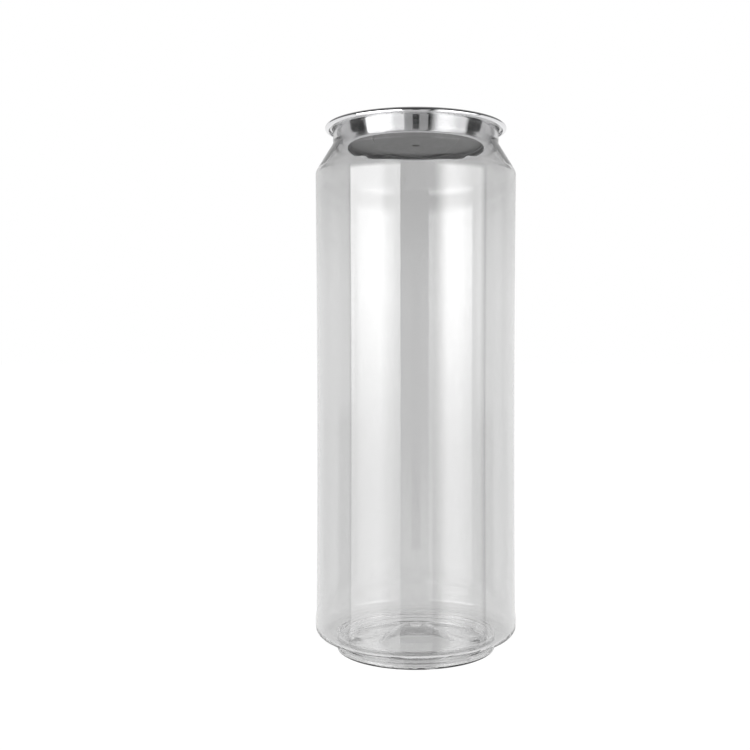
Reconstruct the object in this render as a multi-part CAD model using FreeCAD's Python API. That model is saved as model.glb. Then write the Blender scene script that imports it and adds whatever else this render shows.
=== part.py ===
"""Clear plastic drink can with an aluminium easy-open end.

Three pieces: the thin-walled clear body, the aluminium end that sits on its flange,
and the pull tab that the end's rivet holds. Millimetres, +Z up. The origin is the
centre of the foot's plane, and the mouth of the end lies towards -Y.
"""

import FreeCAD
import Part

import math
import os

V = FreeCAD.Vector
UP = V(0, 0, 1)
AXIS_POINT = V(0, 0, 0)

# ---------------------------------------------------------------- driving sizes: the can
TOTAL_H = 171.9  # foot plane to the crest of the end
BODY_R = 33.05  # outside radius at the shoulder and at the base land
WAIST_DEPTH = 0.75  # the side wall bows in by this much where it is slimmest
WAIST_Z = 76.0
WAIST_BEND_R = 7000.0  # the side wall's long inward bow
LONG_BEND_R = 1000.0  # bends longer than this are drawn as parabolas
BODY_WALL = 0.45

# base: land, rounded corner, foot ring with ribs, pushed-up dome
LAND_TOP_Z = 11.6
LAND_STEP = 0.35  # the side wall stands in from the base land by this much
LAND_BLEND_H = 2.4
LAND_BEND_R = 3.0
CORNER_R = 3.25
CORNER_UNDER_Z = 4.75  # underside of the rounded corner above the foot plane
FOOT_INSET = 6.9  # from the base land in to the foot ring
FOOT_EDGE_R = 0.7
FOOT_DRAFT = 0.25  # the ring's side leans in by this much at its lower edge
FOOT_WALL = 0.85
FOOT_INNER_BEND_R = 0.25
FOOT_BEND_R = 0.7  # inside bend between the foot ring and the rounded corner
FOOT_TOP_INSET = 0.056  # the ring's side below the rounded corner, in from its ridges
RIB_COUNT = 3
RIB_DEPTH = 0.42
RIB_RIDGE_AT = 0.35  # ridge and groove, as shares of each rib's height
RIB_GROOVE_AT = 0.8
RIB_RIDGE_BEND_R = 0.375
RIB_GROOVE_BEND_R = 0.175
RIB_TOP_BEND_R = 0.3
FOOT_RING_W = 2.4  # the flat ring that the can stands on, with its two edges
FOOT_FLOOR_W = 1.8  # the foot ring's outer edge in to where its floor takes up the dome's floor
BASE_WALL = 0.6
FLOOR_RISE = 0.5  # underside of the floor round the dome, above the foot plane at its lowest
FLOOR_SLOPE = 2.0  # degrees by which that floor climbs outwards, up to the foot ring
FOOT_CHANNEL_DRAFT = 0.4  # the foot ring's inner side leans in by this much at its top
DOME_RISE = 6.7  # underside of the dome above the foot plane, at the axis
DOME_FOOT_R = 13.5  # where the dome's blend meets the flat floor
DOME_FOOT_BEND_R = 3.5
DOME_WALL = 0.9
GATE_R = 1.6  # moulding gate's button on the dome's underside
GATE_H = 0.5

# shoulder and neck
NECK_R = 27.35  # outside radius of the neck
NECK_WALL = 0.95
NECK_H = 6.1  # crest of the end down to where the neck meets the shoulder cone
NECK_BEND_R = 2.6
SHOULDER_H = 9.3  # height of the shoulder cone
SHOULDER_BEND_R = 3.0
FLANGE_W = 1.4  # reach of the flange, that the end hooks over, beyond the neck
FLANGE_T = 0.75
FLANGE_BEND_R = 0.9
FLANGE_ROOT_R = 0.45

# ---------------------------------------------------------------- driving sizes: the end
SHEET = 0.25
CURL_W = 1.2  # reach of the rim's curl beyond the flange
CURL_BEND_R = 0.85
CURL_LIP_TURN = 22.0  # degrees that the lip turns in past the curl's bottom
CREST_BEND_R = 1.85  # bend from the crest into the chuck wall
CREST_INSET = 0.6  # that bend's centre, outside the neck's bore
CHUCK_ANGLE = 16.0  # chuck wall's lean from upright
SINK_DEPTH = 6.6  # crest to the underside of the countersink
SINK_BEND_R = 0.55  # inner bend radius of the countersink
PANEL_DEPTH = 4.3  # crest to the panel's upper face
PANEL_BEND_R = 0.6
FLANGE_CLEARANCE = 0.04  # flange to the underside of the crest

# teardrop recess pressed into the panel round the tab and the mouth
RECESS_DEPTH = 0.45
RECESS_SLOPE_W = 0.85
RECESS_TAIL_MARGIN = 2.2  # countersink to the recess's edge, beyond the tab's tail
RECESS_MOUTH_MARGIN = 2.0
RECESS_MOUTH_R = 14.2

# mouth: the tear panel inside two score lines
MOUTH_MARGIN = 0.8  # recess floor's edge to the outer score line
MOUTH_RIVET_GAP = 2.6  # rivet's centre to the outer score line
MOUTH_BOW = 1.9  # rise of the mouth's long arcs over its side arcs
SCORE_W = 0.22
SCORE_DEPTH = 0.1
SCORE_GAP = 0.75  # between the outer and the inner score line
HINGE_FROM = 118.0  # unscored stretch that the mouth folds on, degrees round the mouth
HINGE_TO = 150.0

# stiffening bead on the tear panel, just beyond the tab's nose
BEAD_NOSE_GAP = 2.5  # tab's nose to the bead's ridge
BEAD_SPREAD = 0.25  # the bead's radius over the nose's
BEAD_HALF_TURN = 50.0
BEAD_W = 1.4
BEAD_H = 0.4
BEAD_HOOK_R = 1.15
BEAD_HOOK_TURN = 105.0

# rivet, drawn up out of the panel
RIVET_R = 1.5
RIVET_HEAD_W = 0.55  # reach of the head beyond the stem
RIVET_HEAD_T = 0.45
RIVET_HEAD_EDGE_R = 0.2
RIVET_DIMPLE_LIP = 0.45  # stem's radius less the dimple's
RIVET_DIMPLE_H = 0.22
BOSS_W = 1.2  # reach of the boss, that the tab sits on, beyond the stem
BOSS_H = 0.32
RIVET_CLEARANCE = 0.06

# ---------------------------------------------------------------- driving sizes: the tab
TAB_W = 16.3
TAB_NOSE_Y = -7.1
TAB_TAIL_GAP = 1.85  # recess floor's edge to the tab's tail
TAB_SIDE_GAP = 2.25  # tab's side to the recess's edge
TAB_T = 1.3
TAB_TAIL_R = 10.6  # the tail's long arc
TAB_TAIL_CORNER_R = 4.9
TAB_RIM_W = 1.15  # the raised edge
TAB_HEM_W = 2.7  # the edge's sheet, folded back underneath
TAB_EDGE_R = 0.55
TAB_STEP = 0.16  # the web lies this much below the hemmed edge
TAB_WEB_T = 0.3
TAB_SHEET = 0.3
ISLAND_HALF_W = 5.2  # round-ended recess that holds the rivet island
ISLAND_TOP_Y = 6.4
ISLAND_NOSE_W = 1.8  # from the tab's nose in to that recess
ISLAND_NOSE_RISE = 3.16  # height of that recess's arc at the nose
WELL_HALF_W = 5.4  # closed oval finger well
WELL_ROUNDNESS = 0.85  # end radius as a share of the well's shorter half
WELL_TAIL_W = 1.6  # from the tab's tail in to the well
WELL_ISLAND_GAP = 1.3
LANCE_R = 3.9  # slot that frees the rivet island from the web
LANCE_W = 0.55
LANCE_DROP = 1.2  # how far past the rivet's centre the slot runs, towards the nose
LANCE_HOLE_R = 0.75
CUT_PAST = 1.0  # how far cutters reach past what they cut

# ---------------------------------------------------------------- what follows: the can
WAIST_R = BODY_R - WAIST_DEPTH
FOOT_R = BODY_R - FOOT_INSET
RIB_H = (CORNER_UNDER_Z - RIB_TOP_BEND_R - FOOT_EDGE_R) / RIB_COUNT
FLANGE_R = NECK_R + FLANGE_W
FLANGE_TIP_R = 0.45 * FLANGE_T  # just under half its thickness
CREST_Z = TOTAL_H
NECK_Z = CREST_Z - NECK_H
SHOULDER_Z = NECK_Z - SHOULDER_H
FLANGE_TOP_Z = CREST_Z - SHEET - FLANGE_CLEARANCE

# ---------------------------------------------------------------- what follows: the end
# the chuck wall is tangent to the crest's bend above and to the countersink's below
LEAN = math.radians(CHUCK_ANGLE)
CURL_R = FLANGE_R + CURL_W
CREST_INNER_R = NECK_R - NECK_WALL + CREST_INSET
CREST_BEND_Z = CREST_Z - CREST_BEND_R
SINK_BEND_Z = CREST_Z - SINK_DEPTH + SHEET + SINK_BEND_R
WALL_TOP_R = CREST_INNER_R - CREST_BEND_R * math.cos(LEAN)
WALL_TOP_Z = CREST_BEND_Z + CREST_BEND_R * math.sin(LEAN)
WALL_FOOT_Z = SINK_BEND_Z - SINK_BEND_R * math.sin(LEAN)
WALL_FOOT_R = WALL_TOP_R - (WALL_TOP_Z - WALL_FOOT_Z) * math.tan(LEAN)
SINK_R = WALL_FOOT_R - SINK_BEND_R * math.cos(LEAN)
PANEL_R = SINK_R - SINK_BEND_R

# ---------------------------------------------------------------- what follows: the panel
PANEL_Z = CREST_Z - PANEL_DEPTH
RECESS_Z = PANEL_Z - RECESS_DEPTH
RECESS_TAIL_R = TAB_W / 2 + TAB_SIDE_GAP
RECESS_TAIL_END_Y = PANEL_R - RECESS_TAIL_MARGIN
RECESS_TAIL_Y = RECESS_TAIL_END_Y - RECESS_TAIL_R
RECESS_MOUTH_END_Y = RECESS_MOUTH_MARGIN - PANEL_R
RECESS_MOUTH_Y = RECESS_MOUTH_END_Y + RECESS_MOUTH_R
MOUTH_LOW_Y = RECESS_MOUTH_END_Y + RECESS_SLOPE_W + MOUTH_MARGIN
MOUTH_Y = (MOUTH_LOW_Y - MOUTH_RIVET_GAP) / 2
MOUTH_HALF_H = -MOUTH_RIVET_GAP - MOUTH_Y
MOUTH_HALF_W = RECESS_MOUTH_R - RECESS_SLOPE_W - MOUTH_MARGIN
MOUTH_CORNER_R = MOUTH_HALF_H - MOUTH_BOW
BOSS_R = RIVET_R + BOSS_W
BOSS_Z = RECESS_Z + BOSS_H
BEAD_R = TAB_W / 2 + BEAD_SPREAD
BEAD_Y = TAB_NOSE_Y - BEAD_NOSE_GAP + BEAD_R

# ---------------------------------------------------------------- what follows: the tab
TAB_Z = BOSS_Z
TAB_TAIL_Y = RECESS_TAIL_END_Y - RECESS_SLOPE_W - TAB_TAIL_GAP
ISLAND_LOW_Y = TAB_NOSE_Y + ISLAND_NOSE_W
WELL_TOP_Y = TAB_TAIL_Y - WELL_TAIL_W
WELL_LOW_Y = ISLAND_TOP_Y + WELL_ISLAND_GAP
WELL_Y = (WELL_TOP_Y + WELL_LOW_Y) / 2
WELL_HALF_H = (WELL_TOP_Y - WELL_LOW_Y) / 2
WELL_CORNER_R = WELL_ROUNDNESS * min(WELL_HALF_W, WELL_HALF_H)


def bend_edge(first, corner, last, bend):
    """Bend that is tangent to both sides of a corner; a very long one is a parabola."""
    if bend > LONG_BEND_R:
        curve = Part.BezierCurve()
        curve.setPoles([first, corner, last])
        return curve.toShape()
    inward = ((first - corner) + (last - corner)).normalize()
    reach = first.distanceToPoint(corner)
    middle = corner + inward * (math.hypot(reach, bend) - bend)
    return Part.Arc(first, middle, last).toShape()


def rounded_path(corners):
    """Wire in the XZ plane through (r, z, bend radius) corners, bends tangent to both sides."""
    points = [V(r, 0, z) for r, z, _ in corners]
    edges = []
    start = points[0]
    for i in range(1, len(points) - 1):
        back = (points[i - 1] - points[i]).normalize()
        ahead = (points[i + 1] - points[i]).normalize()
        bend = corners[i][2]
        if bend > 0:
            half = back.getAngle(ahead) / 2
            reach = bend / math.tan(half)
            first = points[i] + back * reach
            last = points[i] + ahead * reach
            edges.append(Part.makeLine(start, first))
            edges.append(bend_edge(first, points[i], last, bend))
            start = last
        else:
            edges.append(Part.makeLine(start, points[i]))
            start = points[i]
    edges.append(Part.makeLine(start, points[-1]))
    return Part.Wire(edges)


def joined(first, second):
    """Closed face between two open wires that run the same way, joined by straight ends."""
    edges = first.Edges + second.Edges
    for end in (0, -1):
        here = first.OrderedVertexes[end].Point
        there = second.OrderedVertexes[end].Point
        if here.distanceToPoint(there) > 1e-6:
            edges.append(Part.makeLine(here, there))
    return Part.Face(Part.Wire(Part.__sortEdges__(edges)))


def turned(face):
    """Full revolve round the can's axis."""
    return face.revolve(AXIS_POINT, UP, 360)


def arc_in_plane(centre_y, radius, start, end, z):
    """Arc in a level plane, centred on the Y axis, angles in degrees from +X."""
    def at(angle):
        turn = math.radians(angle)
        return V(radius * math.cos(turn), centre_y + radius * math.sin(turn), z)
    return Part.Arc(at(start), at((start + end) / 2), at(end)).toShape()


def prism(wire, low, high):
    """Solid between two heights over a level closed wire drawn at height 0."""
    face = Part.Face(wire)
    face.translate(V(0, 0, low))
    return face.extrude(V(0, 0, high - low))


def disc(radius, low, high, x=0.0, y=0.0):
    return Part.makeCylinder(radius, high - low, V(x, y, low), UP)


def level_edges(solid, z):
    return [e for e in solid.Edges if abs(e.BoundBox.ZMin - z) < 1e-6 and abs(e.BoundBox.ZMax - z) < 1e-6]


# ---------------------------------------------------------------- clear body
def side_corners(inset):
    """Side wall from the base land up to the shoulder, as an outline moved in by inset."""
    side_r = BODY_R - LAND_STEP
    return [
        (BODY_R - inset, LAND_TOP_Z - LAND_BLEND_H / 2, LAND_BEND_R),
        (side_r - inset, LAND_TOP_Z + LAND_BLEND_H / 2, LAND_BEND_R),
        (WAIST_R - inset, WAIST_Z, WAIST_BEND_R),
        (BODY_R - inset, SHOULDER_Z, SHOULDER_BEND_R),
    ]


def rib_corners():
    """Ribbed outer face of the foot ring, from its lower edge up."""
    corners = []
    for k in range(RIB_COUNT):
        ridge_z = FOOT_EDGE_R + RIB_H * (k + RIB_RIDGE_AT)
        groove_z = FOOT_EDGE_R + RIB_H * (k + RIB_GROOVE_AT)
        corners.append((FOOT_R, ridge_z, RIB_RIDGE_BEND_R))
        corners.append((FOOT_R - RIB_DEPTH, groove_z, RIB_GROOVE_BEND_R))
    return corners


def outer_outline():
    """Outside of the body from the foot ring's flat to the flange's lip."""
    corners = [(FOOT_R - FOOT_FLOOR_W, 0, 0), (FOOT_R - FOOT_DRAFT, 0, FOOT_EDGE_R)]
    corners += rib_corners()
    corners += [
        (FOOT_R - FOOT_TOP_INSET, CORNER_UNDER_Z, RIB_TOP_BEND_R),
        (BODY_R, CORNER_UNDER_Z, CORNER_R),
    ]
    corners += side_corners(0.0)
    corners += [
        (NECK_R, NECK_Z, NECK_BEND_R),
        (NECK_R, FLANGE_TOP_Z - FLANGE_T, FLANGE_ROOT_R),
        (FLANGE_R, FLANGE_TOP_Z - FLANGE_T, FLANGE_TIP_R),
        (FLANGE_R, FLANGE_TOP_Z - FLANGE_T / 2, 0),
    ]
    return rounded_path(corners)


def inner_outline():
    """Inside of the body from above the foot ring to the flange's top, its wall named by zone."""
    neck_in = NECK_R - NECK_WALL
    foot_in = FOOT_R - RIB_DEPTH - FOOT_WALL
    corner_z = CORNER_UNDER_Z + BASE_WALL
    corners = [
        (FOOT_R - FOOT_FLOOR_W, BASE_WALL, 0),
        (foot_in, BASE_WALL, FOOT_INNER_BEND_R),
        (foot_in, corner_z, FOOT_BEND_R),
        (BODY_R - BODY_WALL, corner_z, CORNER_R - BODY_WALL),
    ]
    corners += side_corners(BODY_WALL)
    corners += [
        (neck_in, NECK_Z, NECK_BEND_R + NECK_WALL),
        (neck_in, FLANGE_TOP_Z, FLANGE_BEND_R),
        (FLANGE_R, FLANGE_TOP_Z, FLANGE_TIP_R),
        (FLANGE_R, FLANGE_TOP_Z - FLANGE_T / 2, 0),
    ]
    return rounded_path(corners)


def dome_side(up):
    """One side of the pushed-up base, from the axis out to the foot ring; up is above its underside."""
    rise = DOME_RISE - FLOOR_RISE
    gap = DOME_FOOT_BEND_R - rise
    radius = (DOME_FOOT_R ** 2 + gap ** 2 - DOME_FOOT_BEND_R ** 2) / (2 * rise)
    crown_centre = V(0, 0, DOME_RISE - radius)
    bend_centre = V(DOME_FOOT_R, 0, FLOOR_RISE + DOME_FOOT_BEND_R)
    slope = math.radians(FLOOR_SLOPE)
    axis = V(0, 0, 1)
    floor_up = V(-math.sin(slope), 0, math.cos(slope))
    away = (bend_centre - crown_centre).normalize()
    crown = [crown_centre + way * (radius + up) for way in (axis, (axis + away).normalize(), away)]
    bend_ways = (away, (away + floor_up).normalize(), floor_up)
    bend = [bend_centre - way * (DOME_FOOT_BEND_R - up) for way in bend_ways]
    floor_w = FOOT_R - FOOT_RING_W - FOOT_CHANNEL_DRAFT - bend[-1].x
    floor_end = bend[-1] + V(floor_w, 0, floor_w * math.tan(slope))
    return [Part.Arc(*crown).toShape(), Part.Arc(*bend).toShape(), Part.makeLine(bend[-1], floor_end)]


def dome_profile():
    """Pushed-up base between the axis and the foot ring, of one thickness."""
    low = dome_side(0)
    high = dome_side(DOME_WALL)
    joint = FOOT_R - FOOT_FLOOR_W
    ring = [
        low[-1].Vertexes[-1].Point,
        V(FOOT_R - FOOT_RING_W, 0, 0),
        V(joint, 0, 0),
        V(joint, 0, BASE_WALL),
        high[-1].Vertexes[-1].Point,
    ]
    edges = low + high + Part.makePolygon(ring).Edges
    edges.append(Part.makeLine(V(0, 0, DOME_RISE), V(0, 0, DOME_RISE + DOME_WALL)))
    return Part.Face(Part.Wire(Part.__sortEdges__(edges)))


def make_clear_body():
    wall = turned(joined(outer_outline(), inner_outline()))
    dome = turned(dome_profile())
    gate = disc(GATE_R, DOME_RISE - GATE_H, DOME_RISE + DOME_WALL / 2)
    return wall.fuse([dome, gate]).removeSplitter()


# ---------------------------------------------------------------- aluminium end
def sheet_section(inset):
    """Half section of the end's sheet from the curl's lip to the panel's centre.

    The outline is the public side of the sheet; inset moves it to the product side."""
    curl_centre = V(CURL_R - CURL_BEND_R, 0, CREST_Z - CURL_BEND_R)
    crest_centre = V(CREST_INNER_R, 0, CREST_BEND_Z)
    sink_centre = V(SINK_R, 0, SINK_BEND_Z)
    panel_centre = V(PANEL_R - PANEL_BEND_R, 0, PANEL_Z - PANEL_BEND_R)
    curl_radius = CURL_BEND_R - inset
    crest_radius = CREST_BEND_R - inset
    sink_radius = SINK_BEND_R + inset
    panel_radius = PANEL_BEND_R - inset

    def on(centre, radius, angle):
        turn = math.radians(angle)
        return centre + V(math.cos(turn), 0, math.sin(turn)) * radius

    def bend(centre, radius, start, end):
        return Part.Arc(
            on(centre, radius, start), on(centre, radius, (start + end) / 2), on(centre, radius, end)
        ).toShape()

    wall_turn = 180 - CHUCK_ANGLE
    lip = -90 - CURL_LIP_TURN
    curl = bend(curl_centre, curl_radius, lip, 90)
    crest = bend(crest_centre, crest_radius, 90, wall_turn)
    sink = bend(sink_centre, sink_radius, -CHUCK_ANGLE, -180)
    panel = bend(panel_centre, panel_radius, 0, 90)
    runs = [
        curl,
        Part.makeLine(on(curl_centre, curl_radius, 90), on(crest_centre, crest_radius, 90)),
        crest,
        Part.makeLine(on(crest_centre, crest_radius, wall_turn), on(sink_centre, sink_radius, -CHUCK_ANGLE)),
        sink,
        Part.makeLine(on(sink_centre, sink_radius, 180), on(panel_centre, panel_radius, 0)),
        panel,
        Part.makeLine(on(panel_centre, panel_radius, 90), V(0, 0, panel_centre.z + panel_radius)),
    ]
    return Part.Wire(runs)


def teardrop(shrink):
    """Level outline of the recess: a small and a large circle with their shared tangents."""
    tail_r = RECESS_TAIL_R - shrink
    mouth_r = RECESS_MOUTH_R - shrink
    apart = RECESS_TAIL_Y - RECESS_MOUTH_Y
    slope = math.degrees(math.asin((mouth_r - tail_r) / apart))
    tail = arc_in_plane(RECESS_TAIL_Y, tail_r, slope, 180 - slope, 0)
    mouth = arc_in_plane(RECESS_MOUTH_Y, mouth_r, 180 - slope, 360 + slope, 0)
    left = Part.makeLine(tail.Vertexes[-1].Point, mouth.Vertexes[0].Point)
    right = Part.makeLine(mouth.Vertexes[-1].Point, tail.Vertexes[0].Point)
    return Part.Wire([tail, left, mouth, right])


def dished(top_wire, floor_wire, top_z, floor_z):
    """Solid that narrows from one level outline down to another."""
    top = top_wire.copy()
    top.translate(V(0, 0, top_z))
    floor = floor_wire.copy()
    floor.translate(V(0, 0, floor_z))
    return Part.makeLoft([top, floor], True, True)


def oval(centre_y, half_w, half_h, corner_r):
    """Level outline of four tangent arcs: two round ends and two flatter long sides."""
    if half_h > half_w:
        upright = oval(0, half_h, half_w, corner_r).rotated(AXIS_POINT, UP, 90)
        return upright.translated(V(0, centre_y, 0))
    side_x = half_w - corner_r
    rise = half_h - corner_r
    # the long arc's radius that is tangent to the side arcs and as high as the oval
    long_r = (side_x ** 2 + rise ** 2) / (2 * rise) + corner_r
    drop = long_r - half_h
    lean = math.atan2(drop, side_x)
    touch = V(math.cos(lean), math.sin(lean), 0)
    right = V(side_x, centre_y, 0)
    left = V(-side_x, centre_y, 0)
    def flip(vector, x, y):
        return V(vector.x * x, vector.y * y, 0)
    upper_right = right + touch * corner_r
    upper_left = left + flip(touch, -1, 1) * corner_r
    lower_right = right + flip(touch, 1, -1) * corner_r
    lower_left = left + flip(touch, -1, -1) * corner_r
    return Part.Wire([
        Part.Arc(upper_right, V(0, centre_y + half_h, 0), upper_left).toShape(),
        Part.Arc(upper_left, V(-half_w, centre_y, 0), lower_left).toShape(),
        Part.Arc(lower_left, V(0, centre_y - half_h, 0), lower_right).toShape(),
        Part.Arc(lower_right, V(half_w, centre_y, 0), upper_right).toShape(),
    ])


def score_line(inset):
    """Ring-shaped groove round the mouth, left whole at the hinge."""
    def ring_wire(extra):
        shrink = inset + extra
        return oval(MOUTH_Y, MOUTH_HALF_W - shrink, MOUTH_HALF_H - shrink, MOUTH_CORNER_R - shrink)
    low = RECESS_Z - SCORE_DEPTH
    high = RECESS_Z + SCORE_DEPTH
    groove = prism(ring_wire(0.0), low, high).cut(prism(ring_wire(SCORE_W), low, high))
    reach = MOUTH_HALF_W * 2
    hinge = [V(0, MOUTH_Y, 0)]
    for angle in (HINGE_FROM, HINGE_TO):
        turn = math.radians(angle)
        hinge.append(V(reach * math.cos(turn), MOUTH_Y + reach * math.sin(turn), 0))
    whole = prism(Part.makePolygon(hinge + [hinge[0]]), low - CUT_PAST, high + CUT_PAST)
    return groove.cut(whole)


def bead_run(ball, centre, spoke_angle, spoke, turn):
    """Part of a ring: a round section carried about an upright axis through turn degrees."""
    way = math.radians(spoke_angle)
    out = V(math.cos(way), math.sin(way), 0)
    along = V(-math.sin(way), math.cos(way), 0)
    section = Part.Face(Part.Wire(Part.makeCircle(ball, centre + out * spoke, along)))
    return section.revolve(centre, UP, turn)


def stiffening_bead():
    """Low rounded bead in an arc round the tab's nose, each end hooked away from the tab."""
    ball = (BEAD_W ** 2 / 4 + BEAD_H ** 2) / (2 * BEAD_H)
    level = RECESS_Z + BEAD_H - ball
    centre = V(0, BEAD_Y, level)
    runs = [bead_run(ball, centre, -90 - BEAD_HALF_TURN, BEAD_R, 2 * BEAD_HALF_TURN)]
    for side in (-1, 1):
        end_angle = -90 + side * BEAD_HALF_TURN
        way = math.radians(end_angle)
        hook_centre = centre + V(math.cos(way), math.sin(way), 0) * (BEAD_R + BEAD_HOOK_R)
        runs.append(bead_run(ball, hook_centre, end_angle + 180, BEAD_HOOK_R, -side * BEAD_HOOK_TURN))
        tip_way = math.radians(end_angle + 180 - side * BEAD_HOOK_TURN)
        tip = hook_centre + V(math.cos(tip_way), math.sin(tip_way), 0) * BEAD_HOOK_R
        runs.append(Part.makeSphere(ball, tip))
    whole = runs[0].fuse(runs[1:])
    reach = 2 * BEAD_R
    rooted = 0.8 * SHEET  # deep enough to fuse, without reaching the product side
    above = Part.makeBox(2 * reach, 2 * reach, BEAD_H + rooted + CUT_PAST, V(-reach, -reach, RECESS_Z - rooted))
    return whole.common(above)


def make_rivet():
    """Stem and head drawn out of the panel, hollow below, with a coined dimple on top."""
    under_head = TAB_Z + TAB_SHEET + RIVET_CLEARANCE
    top = under_head + RIVET_HEAD_T
    boss = disc(BOSS_R, RECESS_Z - SHEET / 2, BOSS_Z)
    stem = disc(RIVET_R, RECESS_Z, under_head + RIVET_HEAD_T / 2)
    head = disc(RIVET_R + RIVET_HEAD_W, under_head, top)
    head = head.makeFillet(RIVET_HEAD_EDGE_R, level_edges(head, top))
    dimple = disc(RIVET_R - RIVET_DIMPLE_LIP, top - RIVET_DIMPLE_H, top + CUT_PAST)
    hollow = disc(RIVET_R - SHEET, RECESS_Z - SHEET * 2, under_head)
    return boss.fuse([stem, head]).cut(dimple), hollow


def make_lid_end():
    section = joined(sheet_section(0.0), sheet_section(SHEET))
    sheet = turned(section)
    below = RECESS_Z - SHEET
    pressed = dished(teardrop(-SHEET / 2), teardrop(RECESS_SLOPE_W - SHEET), PANEL_Z - SHEET / 2, below)
    pocket = dished(teardrop(0.0), teardrop(RECESS_SLOPE_W), PANEL_Z, RECESS_Z)
    panel = sheet.fuse(pressed).cut(pocket)
    rivet, hollow = make_rivet()
    scored = panel.cut([score_line(0.0), score_line(SCORE_W + SCORE_GAP)])
    return scored.fuse([rivet, stiffening_bead()]).cut(hollow).removeSplitter()


# ---------------------------------------------------------------- pull tab
def tab_outline(shrink):
    """Level outline: a half-round nose, straight sides, and a tail of one long and two short arcs."""
    half = TAB_W / 2 - shrink
    nose_y = TAB_NOSE_Y + TAB_W / 2
    long_r = TAB_TAIL_R - shrink
    corner_r = TAB_TAIL_CORNER_R - shrink
    long_y = TAB_TAIL_Y - TAB_TAIL_R
    corner_x = half - corner_r
    corner_y = long_y + math.sqrt((long_r - corner_r) ** 2 - corner_x ** 2)
    lean = math.degrees(math.atan2(corner_y - long_y, corner_x))
    nose = arc_in_plane(nose_y, half, 180, 360, 0)
    bow = arc_in_plane(long_y, long_r, lean, 180 - lean, 0)
    corner = arc_in_plane(corner_y, corner_r, 0, lean, 0)
    right_corner = corner.translated(V(corner_x, 0, 0))
    left_corner = right_corner.mirror(AXIS_POINT, V(1, 0, 0))
    right_side = Part.makeLine(V(half, nose_y, 0), V(half, corner_y, 0))
    left_side = Part.makeLine(V(-half, corner_y, 0), V(-half, nose_y, 0))
    edges = [nose, right_side, right_corner, bow, left_corner, left_side]
    return Part.Wire(Part.__sortEdges__(edges))


def island_outline(shrink):
    """Level outline of the rivet recess: a round end at the tail side, a flatter one at the nose."""
    half = ISLAND_HALF_W - shrink
    top_y = ISLAND_TOP_Y - ISLAND_HALF_W
    low_y = ISLAND_LOW_Y + shrink
    side_y = low_y + ISLAND_NOSE_RISE
    upper = arc_in_plane(top_y, half, 0, 180, 0)
    left = Part.makeLine(V(-half, top_y, 0), V(-half, side_y, 0))
    lower = Part.Arc(V(-half, side_y, 0), V(0, low_y, 0), V(half, side_y, 0)).toShape()
    right = Part.makeLine(V(half, side_y, 0), V(half, top_y, 0))
    return Part.Wire([upper, left, lower, right])


def well_outline(shrink):
    return oval(WELL_Y, WELL_HALF_W - shrink, WELL_HALF_H - shrink, WELL_CORNER_R - shrink)


def lance_slot():
    """C-shaped slot round the tail side of the rivet, with a round hole at each end."""
    low = TAB_Z - CUT_PAST
    high = TAB_Z + TAB_SHEET + RIVET_HEAD_EDGE_R
    ring = disc(LANCE_R + LANCE_W / 2, low, high).cut(disc(LANCE_R - LANCE_W / 2, low, high))
    nose_side = Part.makeBox(TAB_W, TAB_W, TAB_W, V(-TAB_W / 2, -LANCE_DROP - TAB_W, low - CUT_PAST))
    slot = ring.cut(nose_side)
    end_x = math.sqrt(LANCE_R ** 2 - LANCE_DROP ** 2)
    holes = [disc(LANCE_HOLE_R, low, high, side * end_x, -LANCE_DROP) for side in (-1, 1)]
    return slot.fuse(holes)


def make_pull_tab():
    top = TAB_Z + TAB_T
    web_top = top - TAB_STEP
    web_low = web_top - TAB_WEB_T
    blank = prism(tab_outline(0.0), TAB_Z, top)
    blank = blank.makeFillet(TAB_EDGE_R, level_edges(blank, TAB_Z) + level_edges(blank, top))
    face_step = dished(tab_outline(TAB_RIM_W - TAB_STEP), tab_outline(TAB_RIM_W), top, web_top)
    under = prism(tab_outline(TAB_HEM_W), TAB_Z - CUT_PAST, web_low)
    web = blank.cut([face_step, under])
    tray = prism(island_outline(-TAB_SHEET), TAB_Z, web_top)
    well = prism(well_outline(-TAB_SHEET), TAB_Z, web_top)
    floor = TAB_Z + TAB_SHEET
    tray_pocket = dished(island_outline(0.0), island_outline(TAB_STEP), web_top, floor)
    well_pocket = dished(well_outline(0.0), well_outline(TAB_SHEET), web_top, floor)
    rivet_hole = disc(RIVET_R + RIVET_CLEARANCE, TAB_Z - CUT_PAST, floor + CUT_PAST)
    tab = web.fuse([tray, well]).cut([tray_pocket, well_pocket, rivet_hole, lance_slot()])
    return tab.removeSplitter()


NODES = {
    "clear_body": make_clear_body,
    "lid_end": make_lid_end,
    "pull_tab": make_pull_tab,
}


def main():
    os.makedirs("parts", exist_ok=True)
    for node, make in NODES.items():
        shape = make()
        shape.exportStep("parts/" + node + ".step")
        box = shape.BoundBox
        print(
            node, "solids", len(shape.Solids), "valid", shape.isValid(), "volume", round(shape.Volume, 1),
            "z", round(box.ZMin, 3), round(box.ZMax, 3), "r", round(box.XMax, 3),
        )


main()
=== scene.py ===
"""Looks of the clear drink can: its PET body, bright aluminium end and satin pull tab.

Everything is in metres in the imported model's frame: +Z up, the foot's plane at zero, the mouth
of the end towards -Y, where the camera stands. MM turns millimetres into metres. Directions in
the studio are in degrees: azimuth from the camera's side towards +X, and elevation.
"""

import math

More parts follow.
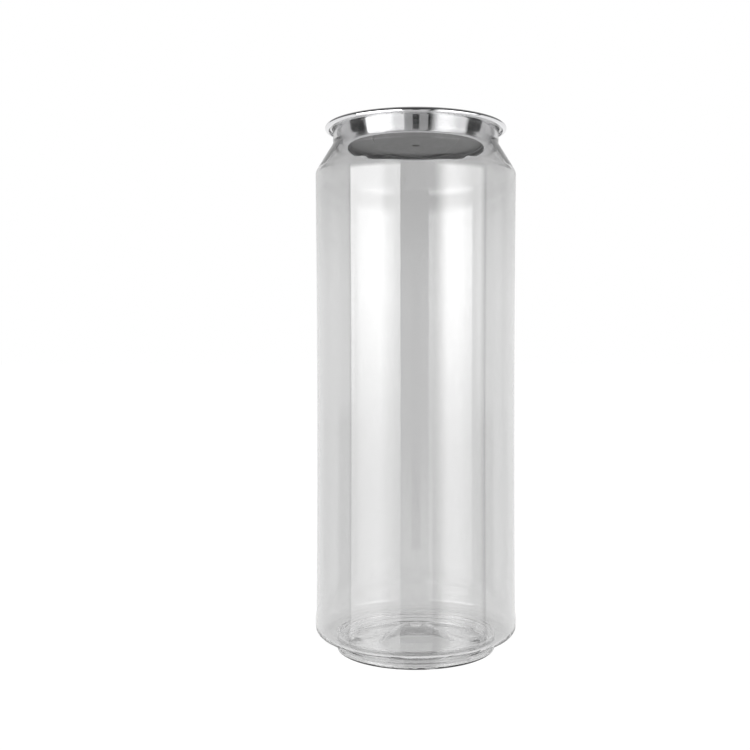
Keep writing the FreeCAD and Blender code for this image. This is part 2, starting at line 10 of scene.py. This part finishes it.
import bmesh
import bpy
import numpy as np
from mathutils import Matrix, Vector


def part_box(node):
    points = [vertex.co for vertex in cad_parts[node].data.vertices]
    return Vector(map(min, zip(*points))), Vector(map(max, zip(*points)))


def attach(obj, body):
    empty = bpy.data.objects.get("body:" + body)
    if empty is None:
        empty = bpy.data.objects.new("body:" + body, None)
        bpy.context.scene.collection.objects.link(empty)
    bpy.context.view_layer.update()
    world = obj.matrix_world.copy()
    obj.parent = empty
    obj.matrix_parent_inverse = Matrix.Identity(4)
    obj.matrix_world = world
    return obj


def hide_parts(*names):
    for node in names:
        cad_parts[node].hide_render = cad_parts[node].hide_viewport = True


MM = 0.001

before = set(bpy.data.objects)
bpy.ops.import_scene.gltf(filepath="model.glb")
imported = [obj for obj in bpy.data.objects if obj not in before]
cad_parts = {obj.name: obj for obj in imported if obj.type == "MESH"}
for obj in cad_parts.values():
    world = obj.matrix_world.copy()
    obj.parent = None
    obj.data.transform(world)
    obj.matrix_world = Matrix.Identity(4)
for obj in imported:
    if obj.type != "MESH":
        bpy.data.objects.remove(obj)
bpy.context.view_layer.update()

# ------------------------------------------------------------------ sizes read from the frame
BODY_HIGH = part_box("clear_body")[1]
END_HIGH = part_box("lid_end")[1]
BODY_R = BODY_HIGH.x
TOTAL_H = END_HIGH.z
FLANGE_TOP_Z = BODY_HIGH.z

# ------------------------------------------------------------------ sizes of the clear body
WAIST_R = BODY_R - 0.75 * MM
WAIST_Z = 76.0 * MM
WAIST_BEND_R = 7.0
BODY_WALL = 0.45 * MM
LAND_TOP_Z = 11.6 * MM
LAND_STEP = 0.35 * MM
LAND_BLEND_H = 2.4 * MM
LAND_BEND_R = 3.0 * MM
CORNER_R = 3.25 * MM
CORNER_UNDER_Z = 4.75 * MM
FOOT_R = BODY_R - 6.9 * MM
FOOT_EDGE_R = 0.7 * MM
FOOT_DRAFT = 0.25 * MM
FOOT_WALL = 0.85 * MM
FOOT_INNER_BEND_R = 0.25 * MM
FOOT_BEND_R = 0.7 * MM
FOOT_TOP_INSET = 0.056 * MM
FOOT_RING_W = 2.4 * MM
RIB_COUNT = 3
RIB_DEPTH = 0.42 * MM
RIB_RIDGE_AT = 0.35
RIB_GROOVE_AT = 0.8
RIB_RIDGE_BEND_R = 0.375 * MM
RIB_GROOVE_BEND_R = 0.175 * MM
RIB_TOP_BEND_R = 0.3 * MM
RIB_H = (CORNER_UNDER_Z - RIB_TOP_BEND_R - FOOT_EDGE_R) / RIB_COUNT
FOOT_FLOOR_W = 1.8 * MM
BASE_WALL = 0.6 * MM
FLOOR_RISE = 0.5 * MM
FLOOR_SLOPE = math.radians(2.0)
FOOT_CHANNEL_DRAFT = 0.4 * MM
DOME_RISE = 6.7 * MM
DOME_FOOT_R = 13.5 * MM
DOME_FOOT_BEND_R = 3.5 * MM
DOME_WALL = 0.9 * MM
GATE_R = 1.6 * MM
GATE_H = 0.5 * MM
GATE_BEND_R = 0.15 * MM
NECK_R = 27.35 * MM
NECK_WALL = 0.95 * MM
NECK_Z = TOTAL_H - 6.1 * MM
NECK_BEND_R = 2.6 * MM
SHOULDER_Z = NECK_Z - 9.3 * MM
SHOULDER_BEND_R = 3.0 * MM
FLANGE_R = NECK_R + 1.4 * MM
FLANGE_T = 0.75 * MM
FLANGE_BEND_R = 0.9 * MM
FLANGE_ROOT_R = 0.45 * MM
FLANGE_TIP_R = 0.45 * FLANGE_T

# ------------------------------------------------------------------ sizes of the end
SHEET = 0.25 * MM
PANEL_Z = TOTAL_H - 4.3 * MM
PANEL_R = 22.85 * MM

# ------------------------------------------------------------------ fineness of the turned mesh
LONG_BEND_R = 1.0  # bends longer than this are drawn as parabolas
BEND_STEP = math.radians(7.5)
RUN_STEP = 2.5 * MM
DOME_STEPS = 20
TURNS = 288
ON_AXIS = 1e-7

# ------------------------------------------------------------------ finishes
PET_TINT = 0.80
FOOT_TINT = 0.72
PET_IOR = 1.575
PET_ROUGHNESS = (0.01, 0.03)
SCUFF_SCALE = 900.0
FLOW_SCALE = 260.0
FLOW_DEPTH = 0.2 * MM
CAUGHT_DEPTH = 7.5  # turns after which a ray counts as caught in the plastic
GRAIN_SCALE = (120.0, 9000.0, 1500.0)
GRAIN_DEPTH = 0.01 * MM
MOTTLE_SCALE = 700.0
# painted shade: the dark grey of the end's underside stands in for the shade under the end
UNDERSIDE_SHADE_GREY = 0.30
LACQUER_ROUGHNESS = (0.42, 0.52)

# ------------------------------------------------------------------ camera
CAMERA_AWAY = 339.4 * MM
CAMERA_Z = 98.6 * MM
LENS = 49.13
SHIFT_X = -0.0544
SHIFT_Y = -0.0353

# ------------------------------------------------------------------ softboxes, stand and floor
BOX_AWAY = 500.0 * MM  # the softboxes' distance from the can's axis
BOX_HIGH = 252.0 * MM
BOX_LOW = -700.0 * MM  # below the floor, as mirrored by it
BOX_EDGE = 20.0 * MM  # over which a softbox fades out at its top
BOX_LEVELS = (2.3, 4.8)  # strength near the floor and above
BOX_RISE = (-0.02, 0.20)
BOX_FADE = (-0.60, -0.25)
LEFT_BOX = (-76.0, -16.5)
RIGHT_BOX = (18.0, 84.0)
STAND = (-4.5, 5.0)
STAND_HIGH = 160.0 * MM
STAND_LOW = -50.0 * MM
STAND_LEVEL = 0.07
SCREEN_STEP = 3.0
FLOOR_HALF = 6.0
FLOOR_GREY = 0.9
FLOOR_WHITE = 0.88  # share of the floor's look that is plain white, the rest takes the shadow
FLOOR_GLOW = 1.12

# ------------------------------------------------------------------ the rest of the studio
SIDE_FROM = (78.0, 84.0)  # azimuths over which the front turns into the side
BACK_FROM = (108.0, 114.0)
FRONT_LEVELS = (0.6, 0.15)  # near the floor and level with the can
FRONT_TOP_SHARE = 0.2
SIDE_TOP = 0.1
FLAG_BLACK = 0.03
FLAG_DEPTH = 4.5  # turns of a ray: in and out of the neck, off the end, in and out again
BACK_LEVELS = (0.96, 0.8)
BACK_TOP = (12.0, 46.0)  # elevation of the backdrop's top at its wings and in its middle
ABOVE_BACK = 0.04
CEILING = 0.24
EAVES = (46.0, 18.0)  # elevation at which the ceiling starts, in front and behind


# ------------------------------------------------------------------ outlines
def rounded_outline(corners):
    """Points through (r, z, bend radius) corners, with each bend tangent to both of its sides."""
    points = [np.array(c[:2], float) for c in corners]
    out = [points[0]]

    def run_to(end):
        start = out[-1]
        count = max(1, math.ceil(np.linalg.norm(end - start) / RUN_STEP))
        for k in range(1, count + 1):
            out.append(start + (end - start) * k / count)

    for i in range(1, len(points) - 1):
        bend = corners[i][2]
        if bend <= 0:
            run_to(points[i])
            continue
        back = points[i - 1] - points[i]
        ahead = points[i + 1] - points[i]
        back /= np.linalg.norm(back)
        ahead /= np.linalg.norm(ahead)
        half = math.acos(max(-1.0, min(1.0, float(back @ ahead)))) / 2
        reach = bend / math.tan(half)
        first = points[i] + back * reach
        last = points[i] + ahead * reach
        run_to(first)
        if bend > LONG_BEND_R:
            steps = math.ceil(2 * reach / RUN_STEP)
            for k in range(1, steps + 1):
                t = k / steps
                out.append((1 - t) ** 2 * first + 2 * t * (1 - t) * points[i] + t ** 2 * last)
            continue
        middle = (back + ahead) / np.linalg.norm(back + ahead)
        centre = points[i] + middle * (bend / math.sin(half))
        turn = math.pi - 2 * half
        steps = max(2, math.ceil(turn / BEND_STEP))
        spoke = first - centre
        cross = spoke[0] * (last - centre)[1] - spoke[1] * (last - centre)[0]
        way = 1.0 if cross > 0 else -1.0
        for k in range(1, steps + 1):
            a = way * turn * k / steps
            out.append(centre + np.array([
                spoke[0] * math.cos(a) - spoke[1] * math.sin(a),
                spoke[0] * math.sin(a) + spoke[1] * math.cos(a),
            ]))
    run_to(points[-1])
    return out


def side_corners(inset):
    """The waisted side, from the base land up to the shoulder, set in by inset."""
    side_r = BODY_R - LAND_STEP
    return [
        (BODY_R - inset, LAND_TOP_Z - LAND_BLEND_H / 2, LAND_BEND_R),
        (side_r - inset, LAND_TOP_Z + LAND_BLEND_H / 2, LAND_BEND_R),
        (WAIST_R - inset, WAIST_Z, WAIST_BEND_R),
        (BODY_R - inset, SHOULDER_Z, SHOULDER_BEND_R),
    ]


def outer_outline():
    """Outside of the body, from the foot ring's inner edge out and up to the flange's lip."""
    foot_in = FOOT_R - FOOT_RING_W
    corners = [(foot_in, 0.0, 0.0), (FOOT_R - FOOT_DRAFT, 0.0, FOOT_EDGE_R)]
    for k in range(RIB_COUNT):
        ridge_z = FOOT_EDGE_R + RIB_H * (k + RIB_RIDGE_AT)
        groove_z = FOOT_EDGE_R + RIB_H * (k + RIB_GROOVE_AT)
        corners.append((FOOT_R, ridge_z, RIB_RIDGE_BEND_R))
        corners.append((FOOT_R - RIB_DEPTH, groove_z, RIB_GROOVE_BEND_R))
    corners += [
        (FOOT_R - FOOT_TOP_INSET, CORNER_UNDER_Z, RIB_TOP_BEND_R),
        (BODY_R, CORNER_UNDER_Z, CORNER_R),
    ]
    corners += side_corners(0.0)
    corners += [
        (NECK_R, NECK_Z, NECK_BEND_R),
        (NECK_R, FLANGE_TOP_Z - FLANGE_T, FLANGE_ROOT_R),
        (FLANGE_R, FLANGE_TOP_Z - FLANGE_T, FLANGE_TIP_R),
        (FLANGE_R, FLANGE_TOP_Z - FLANGE_T / 2, 0.0),
    ]
    return rounded_outline(corners)


def inner_outline():
    """Inside of the body, from the foot ring's floor up and over the flange."""
    neck_in = NECK_R - NECK_WALL
    foot_in = FOOT_R - RIB_DEPTH - FOOT_WALL
    corner_z = CORNER_UNDER_Z + BASE_WALL
    corners = [
        (FOOT_R - FOOT_FLOOR_W, BASE_WALL, 0.0),
        (foot_in, BASE_WALL, FOOT_INNER_BEND_R),
        (foot_in, corner_z, FOOT_BEND_R),
        (BODY_R - BODY_WALL, corner_z, CORNER_R - BODY_WALL),
    ]
    corners += side_corners(BODY_WALL)
    corners += [
        (neck_in, NECK_Z, NECK_BEND_R + NECK_WALL),
        (neck_in, FLANGE_TOP_Z, FLANGE_BEND_R),
        (FLANGE_R, FLANGE_TOP_Z, FLANGE_TIP_R),
        (FLANGE_R, FLANGE_TOP_Z - FLANGE_T / 2, 0.0),
    ]
    return rounded_outline(corners)


def dome_side(up):
    """One side of the pushed-up base, from the axis out to the foot ring.

    up is the height above the base's underside."""
    rise = DOME_RISE - FLOOR_RISE
    gap = DOME_FOOT_BEND_R - rise
    radius = (DOME_FOOT_R ** 2 + gap ** 2 - DOME_FOOT_BEND_R ** 2) / (2 * rise)
    crown_z = DOME_RISE - radius
    bend_z = FLOOR_RISE + DOME_FOOT_BEND_R
    lean = math.atan2(DOME_FOOT_R, bend_z - crown_z)
    out = []
    for k in range(DOME_STEPS + 1):
        a = lean * k / DOME_STEPS
        out.append(np.array([(radius + up) * math.sin(a), crown_z + (radius + up) * math.cos(a)]))
    bend = DOME_FOOT_BEND_R - up
    for k in range(1, DOME_STEPS + 1):
        a = lean - (lean + FLOOR_SLOPE) * k / DOME_STEPS
        out.append(np.array([DOME_FOOT_R - bend * math.sin(a), bend_z - bend * math.cos(a)]))
    floor_w = FOOT_R - FOOT_RING_W - FOOT_CHANNEL_DRAFT - out[-1][0]
    out.append(out[-1] + np.array([floor_w, floor_w * math.tan(FLOOR_SLOPE)]))
    return out


def under_dome():
    """Underside of the base, with the moulding gate's button at the axis."""
    button_z = DOME_RISE - GATE_H
    button = [(0.0, button_z, 0.0), (GATE_R, button_z, GATE_BEND_R), (GATE_R, DOME_RISE, 0.0)]
    beyond = [point for point in dome_side(0.0) if point[0] > GATE_R]
    return rounded_outline(button)[:-1] + beyond


# ------------------------------------------------------------------ meshes
def add_piece(name, mesh, material, replaced):
    """Visible piece that rides on the can and stands for the replaced nodes."""
    piece = bpy.data.objects.new(name, mesh)
    bpy.context.scene.collection.objects.link(piece)
    piece.data.materials.clear()
    piece.data.materials.append(material)
    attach(piece, "root")
    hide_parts(*replaced)
    return piece


def lathe(name, outline):
    """Closed surface of revolution about Z; an outline's end on the axis becomes a pole."""
    bm = bmesh.new()
    rings = []
    for r, z in outline:
        if r < ON_AXIS:
            rings.append([bm.verts.new((0.0, 0.0, z))])
            continue
        ring = []
        for k in range(TURNS):
            a = 2 * math.pi * k / TURNS
            ring.append(bm.verts.new((r * math.cos(a), r * math.sin(a), z)))
        rings.append(ring)
    for a, b in zip(rings, rings[1:]):
        for k in range(TURNS):
            n = (k + 1) % TURNS
            if len(a) == 1:
                bm.faces.new((a[0], b[n], b[k]))
            elif len(b) == 1:
                bm.faces.new((a[k], a[n], b[0]))
            else:
                bm.faces.new((a[k], a[n], b[n], b[k]))
    bmesh.ops.recalc_face_normals(bm, faces=bm.faces)
    mesh = bpy.data.meshes.new(name)
    bm.to_mesh(mesh)
    bm.free()
    mesh.polygons.foreach_set("use_smooth", [True] * len(mesh.polygons))
    return mesh


def make_body(material):
    """The clear body, turned from its outer outline and back along its inner one."""
    outer = under_dome() + outer_outline()
    inner = dome_side(DOME_WALL) + inner_outline()
    mesh = lathe("can_body", outer + inner[::-1][1:])
    add_piece("can_body", mesh, material, ["clear_body"])


def make_end(bright, satin, dull_and_shaded):
    """The end's own surface: bright curl and chuck wall, satin panel, and a dull underside whose
    dark grey is painted shade.
    """
    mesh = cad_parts["lid_end"].data.copy()
    add_piece("can_end", mesh, bright, ["lid_end"])
    mesh.materials.append(satin)
    mesh.materials.append(dull_and_shaded)
    for face in mesh.polygons:
        x, y, z = face.center
        # faces under the panel take the dark grey underside material, which is painted shade
        if math.hypot(x, y) < PANEL_R:
            low = z < PANEL_Z - 0.6 * SHEET
            under = face.normal.z < 0.2 and (low or face.normal.z < -0.5)
            face.material_index = 2 if under else 1


# ------------------------------------------------------------------ materials
class Nodes:
    """Short way to build a node tree: add(type, inputs, settings) links sockets or sets values."""

    def __init__(self, tree):
        self.tree = tree
        tree.nodes.clear()

    def add(self, kind, inputs=None, **settings):
        node = self.tree.nodes.new(kind)
        for key, value in settings.items():
            setattr(node, key, value)
        for key, value in (inputs or {}).items():
            self.put(node, key, value)
        return node

    def put(self, node, key, value):
        socket = node.inputs[key]
        if isinstance(value, bpy.types.NodeSocket):
            self.tree.links.new(value, socket)
        else:
            socket.default_value = value

    def math(self, operation, *values):
        return self.add("ShaderNodeMath", dict(enumerate(values)), operation=operation).outputs[0]

    def mix(self, share, first, second):
        """A number that goes from first to second with share."""
        node = self.add("ShaderNodeMix", {0: share, 2: first, 3: second}, data_type="FLOAT")
        return node.outputs[0]

    def ramp(self, value, low, high, to_low=0.0, to_high=1.0):
        """Smooth step from to_low to to_high while value goes from low to high."""
        ends = {"From Min": low, "From Max": high, "To Min": to_low, "To Max": to_high}
        node = self.add(
            "ShaderNodeMapRange", {"Value": value, **ends}, interpolation_type="SMOOTHSTEP"
        )
        return node.outputs["Result"]

    def place(self):
        """Position in the can's own frame."""
        return self.add("ShaderNodeTexCoord").outputs["Object"]

    def surface(self, shader):
        self.add("ShaderNodeOutputMaterial", {"Surface": shader.outputs[0]})

    def glow(self, strength):
        """Plain white emission."""
        return self.add("ShaderNodeEmission", {"Color": (1.0, 1.0, 1.0, 1.0), "Strength": strength})


def new_material(name):
    material = bpy.data.materials.new(name)
    material.use_nodes = True
    return material, Nodes(material.node_tree)


def clear_plastic():
    """Clear PET: faint grey, deeper in the thick foot, with slight flow marks and scuffs."""
    material, nodes = new_material("clear_plastic")
    place = nodes.place()
    height = nodes.add("ShaderNodeSeparateXYZ", {0: place}).outputs[2]
    base = nodes.ramp(height, 0.4 * LAND_TOP_Z, 1.1 * LAND_TOP_Z, 1.0, 0.0)
    foot = nodes.ramp(height, 0.9 * CORNER_UNDER_Z, 1.3 * CORNER_UNDER_Z, 1.0, 0.0)
    tint = nodes.mix(foot, PET_TINT, FOOT_TINT)
    colour = nodes.add("ShaderNodeCombineXYZ", {0: tint, 1: tint, 2: tint})
    scuffs = nodes.add(
        "ShaderNodeTexNoise", {"Vector": place, "Scale": SCUFF_SCALE, "Detail": 3.0}
    )
    # flow marks of the moulding, which fade out above the base
    flow = nodes.add("ShaderNodeTexNoise", {
        "Vector": place,
        "Scale": FLOW_SCALE,
        "Detail": 2.0,
        "Distortion": 0.6,
    })
    flow_marks = nodes.math("MULTIPLY", flow.outputs["Fac"], base)
    bump = nodes.add(
        "ShaderNodeBump", {"Height": flow_marks, "Strength": 0.35, "Distance": FLOW_DEPTH}
    )
    shader = nodes.add("ShaderNodeBsdfPrincipled", {
        "Base Color": colour.outputs[0],
        "Roughness": nodes.ramp(scuffs.outputs["Fac"], 0.35, 0.75, *PET_ROUGHNESS),
        "IOR": PET_IOR,
        "Transmission Weight": 1.0,
        "Normal": bump.outputs[0],
    })
    # light caught in the thick base leaves it after some turns, before the renderer drops it
    depth = nodes.add("ShaderNodeLightPath").outputs["Ray Depth"]
    caught = nodes.math("GREATER_THAN", depth, CAUGHT_DEPTH)
    way_out = nodes.add("ShaderNodeBsdfTransparent")
    nodes.surface(nodes.add(
        "ShaderNodeMixShader", {0: caught, 1: shader.outputs[0], 2: way_out.outputs[0]}
    ))
    return material


def aluminium(name, grey, *rough):
    """Rolled sheet: a fine grain along X in the roughness, between two values, and the surface."""
    material, nodes = new_material(name)
    grain_space = nodes.add("ShaderNodeMapping", {"Vector": nodes.place(), "Scale": GRAIN_SCALE})
    grain = nodes.add(
        "ShaderNodeTexNoise", {"Vector": grain_space.outputs[0], "Scale": 1.0, "Detail": 4.0}
    ).outputs["Fac"]
    bump = nodes.add(
        "ShaderNodeBump", {"Height": grain, "Strength": 0.03, "Distance": GRAIN_DEPTH}
    )
    nodes.surface(nodes.add("ShaderNodeBsdfPrincipled", {
        "Base Color": (grey, grey, grey + 0.01, 1.0),
        "Metallic": 1.0,
        "Roughness": nodes.ramp(grain, 0.3, 0.7, *rough),
        "Normal": bump.outputs[0],
    }))
    return material


def lacquer_and_painted_shade():
    """Dull coat on the end's product side, in a dark grey that is painted shade under the end."""
    material, nodes = new_material("end_lacquer_painted_shade")
    mottle = nodes.add(
        "ShaderNodeTexNoise", {"Vector": nodes.place(), "Scale": MOTTLE_SCALE, "Detail": 3.0}
    )
    nodes.surface(nodes.add("ShaderNodeBsdfPrincipled", {
        "Base Color": (UNDERSIDE_SHADE_GREY, UNDERSIDE_SHADE_GREY, UNDERSIDE_SHADE_GREY, 1.0),
        "Metallic": 1.0,
        "Roughness": nodes.ramp(mottle.outputs["Fac"], 0.3, 0.7, *LACQUER_ROUGHNESS),
    }))
    return material


# ------------------------------------------------------------------ studio
def make_camera():
    data = bpy.data.cameras.new("camera")
    data.sensor_width = 36.0
    data.lens = LENS
    data.shift_x = SHIFT_X
    data.shift_y = SHIFT_Y
    data.clip_start = 0.01
    data.clip_end = 50.0
    camera = bpy.data.objects.new("camera", data)
    camera.location = (0.0, -CAMERA_AWAY, CAMERA_Z)
    camera.rotation_euler = (math.pi / 2, 0.0, 0.0)
    bpy.context.scene.collection.objects.link(camera)
    bpy.context.scene.camera = camera


def by_azimuth(nodes, x, y):
    """Azimuth in degrees: 0 is towards the camera, +90 towards +X."""
    front = nodes.math("MULTIPLY", y, -1.0)
    return nodes.math("MULTIPLY", nodes.math("ARCTAN2", x, front), 180 / math.pi)


def make_world():
    """Studio light by direction: white backdrop and floor, dark side flags, a dim front and
    ceiling. The camera itself sees plain white all round."""
    world = bpy.data.worlds.new("studio")
    bpy.context.scene.world = world
    world.use_nodes = True
    nodes = Nodes(world.node_tree)
    way = nodes.add("ShaderNodeTexCoord").outputs["Generated"]
    x, y, z = nodes.add("ShaderNodeSeparateXYZ", {0: way}).outputs
    rise = nodes.math("MULTIPLY", nodes.math("ARCSINE", z), 180 / math.pi)
    aside = nodes.math("ABSOLUTE", by_azimuth(nodes, x, y))
    path = nodes.add("ShaderNodeLightPath").outputs

    # the front between the softboxes: dim above, lighter where the floor shows
    front = nodes.ramp(rise, -12.0, -4.0, *FRONT_LEVELS)
    front = nodes.math("MULTIPLY", front, nodes.ramp(rise, 4.0, 9.0, 1.0, FRONT_TOP_SHARE))

    # white sides, with a black flag low down that only the chuck wall mirrors through the neck
    white = nodes.ramp(rise, 6.0, 14.0, 1.0, SIDE_TOP)
    under_flag = nodes.ramp(rise, -30.0, -27.0, 1.0, FLAG_BLACK)
    over_flag = nodes.ramp(rise, -4.5, -2.0, FLAG_BLACK, 1.0)
    flagged = nodes.math("MINIMUM", white, nodes.math("MAXIMUM", under_flag, over_flag))
    deep = nodes.math("GREATER_THAN", path["Ray Depth"], FLAG_DEPTH)
    mirrored = nodes.math("MULTIPLY", path["Is Transmission Ray"], deep)
    side = nodes.mix(mirrored, white, flagged)

    # the backdrop stands higher in its middle
    over_back = nodes.math("SUBTRACT", rise, nodes.ramp(aside, 140.0, 152.0, *BACK_TOP))
    back = nodes.ramp(rise, 2.0, 10.0, *BACK_LEVELS)
    back = nodes.math("MULTIPLY", back, nodes.ramp(over_back, -3.0, 3.0, 1.0, ABOVE_BACK))

    light = nodes.mix(nodes.ramp(aside, *BACK_FROM), side, back)
    light = nodes.mix(nodes.ramp(aside, *SIDE_FROM), front, light)
    # the grey ceiling comes lower behind the can
    over_eaves = nodes.math("SUBTRACT", rise, nodes.ramp(aside, 96.0, 116.0, *EAVES))
    ceiling = nodes.math("MAXIMUM", light, CEILING)
    light = nodes.mix(nodes.ramp(over_eaves, 0.0, 12.0), light, ceiling)

    shader = nodes.add("ShaderNodeBackground", {
        "Color": (1.0, 1.0, 1.0, 1.0),
        "Strength": nodes.mix(path["Is Camera Ray"], light, 1.0),
    })
    nodes.add("ShaderNodeOutputWorld", {"Surface": shader.outputs[0]})


def add_stage(name, points, faces, material):
    """Object of the studio, which isn't part of the can."""
    mesh = bpy.data.meshes.new(name)
    mesh.from_pydata(points, [], faces)
    mesh.materials.append(material)
    item = bpy.data.objects.new(name, mesh)
    bpy.context.scene.collection.objects.link(item)
    return item


def make_screen(name, azimuths, low, high, material):
    """Upright screen round the can at the softboxes' distance, unseen by the camera itself."""
    start, end = azimuths
    steps = math.ceil((end - start) / SCREEN_STEP)
    points, faces = [], []
    for k in range(steps + 1):
        a = math.radians(start + (end - start) * k / steps)
        for z in (low, high):
            points.append((BOX_AWAY * math.sin(a), -BOX_AWAY * math.cos(a), z))
    for k in range(steps):
        faces.append((2 * k, 2 * k + 2, 2 * k + 3, 2 * k + 1))
    add_stage(name, points, faces, material).visible_camera = False


def softbox_light(name, profile):
    """Emission that falls off downwards; profile gives its share by azimuth."""
    material, nodes = new_material(name)
    x, y, z = nodes.add("ShaderNodeSeparateXYZ", {0: nodes.place()}).outputs
    level = nodes.ramp(z, *BOX_RISE, *BOX_LEVELS)
    level = nodes.math("MULTIPLY", level, nodes.ramp(z, *BOX_FADE, 0.5, 1.0))
    level = nodes.math("MULTIPLY", level, nodes.ramp(z, BOX_HIGH - BOX_EDGE, BOX_HIGH, 1.0, 0.0))
    share = profile(nodes, by_azimuth(nodes, x, y))
    nodes.surface(nodes.glow(nodes.math("MULTIPLY", level, share)))
    return material


def left_profile(nodes, azimuth):
    """Brightest in its outer middle."""
    share = nodes.ramp(azimuth, -42.0, -28.0, 1.0, 0.66)
    return nodes.math("MULTIPLY", share, nodes.ramp(azimuth, -72.0, -52.0, 0.84, 1.0))


def right_profile(nodes, azimuth):
    """Soft at both edges, and dimmer outwards."""
    share = nodes.ramp(azimuth, 18.0, 38.0)
    share = nodes.math("MULTIPLY", share, nodes.ramp(azimuth, 44.0, 68.0, 0.88, 0.52))
    return nodes.math("MULTIPLY", share, nodes.ramp(azimuth, 74.0, 84.0, 1.0, 0.0))


def make_softboxes():
    """Two tall lights at the front's sides, and the dark stand of the camera between them."""
    left = softbox_light("left_light", left_profile)
    make_screen("left_softbox", LEFT_BOX, BOX_LOW, BOX_HIGH, left)
    right = softbox_light("right_light", right_profile)
    make_screen("right_softbox", RIGHT_BOX, BOX_LOW, BOX_HIGH, right)
    stand, nodes = new_material("stand")
    nodes.surface(nodes.glow(STAND_LEVEL))
    make_screen("camera_stand", STAND, STAND_LOW, STAND_HIGH, stand)


def make_floor():
    """White floor that keeps the can's soft shadow; mirrored and bent rays go on to the studio."""
    material, nodes = new_material("floor")
    path = nodes.add("ShaderNodeLightPath").outputs
    grey = (FLOOR_GREY, FLOOR_GREY, FLOOR_GREY, 1.0)
    diffuse = nodes.add("ShaderNodeBsdfDiffuse", {"Color": grey}).outputs[0]
    white = nodes.glow(FLOOR_GLOW).outputs[0]
    share = nodes.math("MULTIPLY", path["Is Camera Ray"], FLOOR_WHITE)
    seen = nodes.add("ShaderNodeMixShader", {0: share, 1: diffuse, 2: white}).outputs[0]
    clear = nodes.add("ShaderNodeBsdfTransparent").outputs[0]
    through = nodes.math("MAXIMUM", path["Is Glossy Ray"], path["Is Transmission Ray"])
    nodes.surface(nodes.add("ShaderNodeMixShader", {0: through, 1: seen, 2: clear}))
    reach = FLOOR_HALF
    corners = [(-reach, -reach, 0), (reach, -reach, 0), (reach, reach, 0), (-reach, reach, 0)]
    add_stage("floor", corners, [(0, 1, 2, 3)], material)


# ------------------------------------------------------------------ the scene
def dress(node, material):
    """Gives one of the CAD's own nodes its material."""
    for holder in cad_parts[node].material_slots:
        holder.material = material


bpy.context.scene.view_settings.view_transform = "Standard"
make_camera()
make_world()
make_softboxes()
make_floor()
make_body(clear_plastic())
make_end(
    aluminium("end_aluminium", 0.78, 0.05, 0.10),
    aluminium("panel_aluminium", 0.76, 0.16, 0.22),
    lacquer_and_painted_shade(),
)
dress("pull_tab", aluminium("tab_aluminium", 0.76, 0.16, 0.24))
